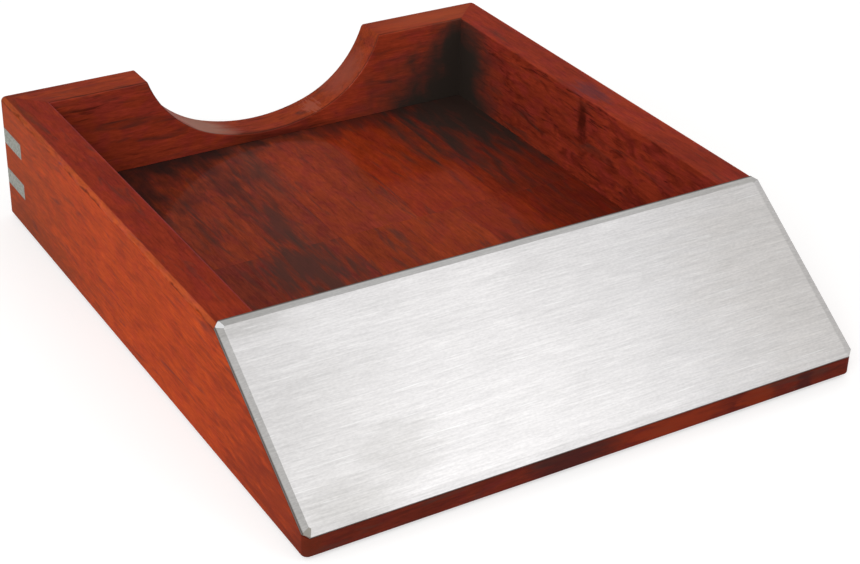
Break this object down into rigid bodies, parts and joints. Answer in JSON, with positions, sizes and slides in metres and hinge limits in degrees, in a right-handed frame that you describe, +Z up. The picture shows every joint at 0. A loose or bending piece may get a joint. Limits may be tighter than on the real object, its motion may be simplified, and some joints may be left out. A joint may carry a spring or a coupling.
{
  "type": "memo tray",
  "caption": "Open memo tray: low lacquered wooden frame with metal corner keys, arched finger cut-out at the back and a sloped brushed metal front plate.",
  "frame": {"origin": "on the table under the middle of the tray, at the bottom of the felt feet", "axes": "+X to the right seen from the front, +Y from the sloped front to the back board, +Z up"},
  "size_m": [0.165, 0.1955, 0.0402],
  "materials": {
    "frame_wood": "red-brown stained hardwood under semi-gloss lacquer",
    "floor_wood": "red-brown stained hardwood staves under semi-gloss lacquer",
    "brushed_plate": "aluminium brushed along its length, clear anodised",
    "key_aluminium": "aluminium bar sanded flush with the wood",
    "dowel_wood": "plain beech, glued in",
    "plate_film": "double-sided acrylic adhesive film",
    "foot_felt": "dark brown pressed wool felt"
  },
  "bodies": {
    "root": {"back_board": "frame_wood", "dowel_left_lower": "dowel_wood", "dowel_left_upper": "dowel_wood", "dowel_right_lower": "dowel_wood", "dowel_right_upper": "dowel_wood", "floor_stave_front_1": "floor_wood", "floor_stave_front_2": "floor_wood", "floor_stave_front_3": "floor_wood", "floor_stave_front_4": "floor_wood", "floor_stave_front_5": "floor_wood", "floor_stave_front_6": "floor_wood", "floor_stave_front_7": "floor_wood", "floor_stave_rear_1": "floor_wood", "floor_stave_rear_2": "floor_wood", "floor_stave_rear_3": "floor_wood", "floor_stave_rear_4": "floor_wood", "floor_stave_rear_5": "floor_wood", "floor_stave_rear_6": "floor_wood", "foot_front_left": "foot_felt", "foot_front_right": "foot_felt", "foot_rear_left": "foot_felt", "foot_rear_right": "foot_felt", "front_board": "frame_wood", "front_plate": "brushed_plate", "key_left_lower": "key_aluminium", "key_left_upper": "key_aluminium", "key_right_lower": "key_aluminium", "key_right_upper": "key_aluminium", "left_side": "frame_wood", "plate_film": "plate_film", "right_side": "frame_wood"}
  },
  "joints": []
}
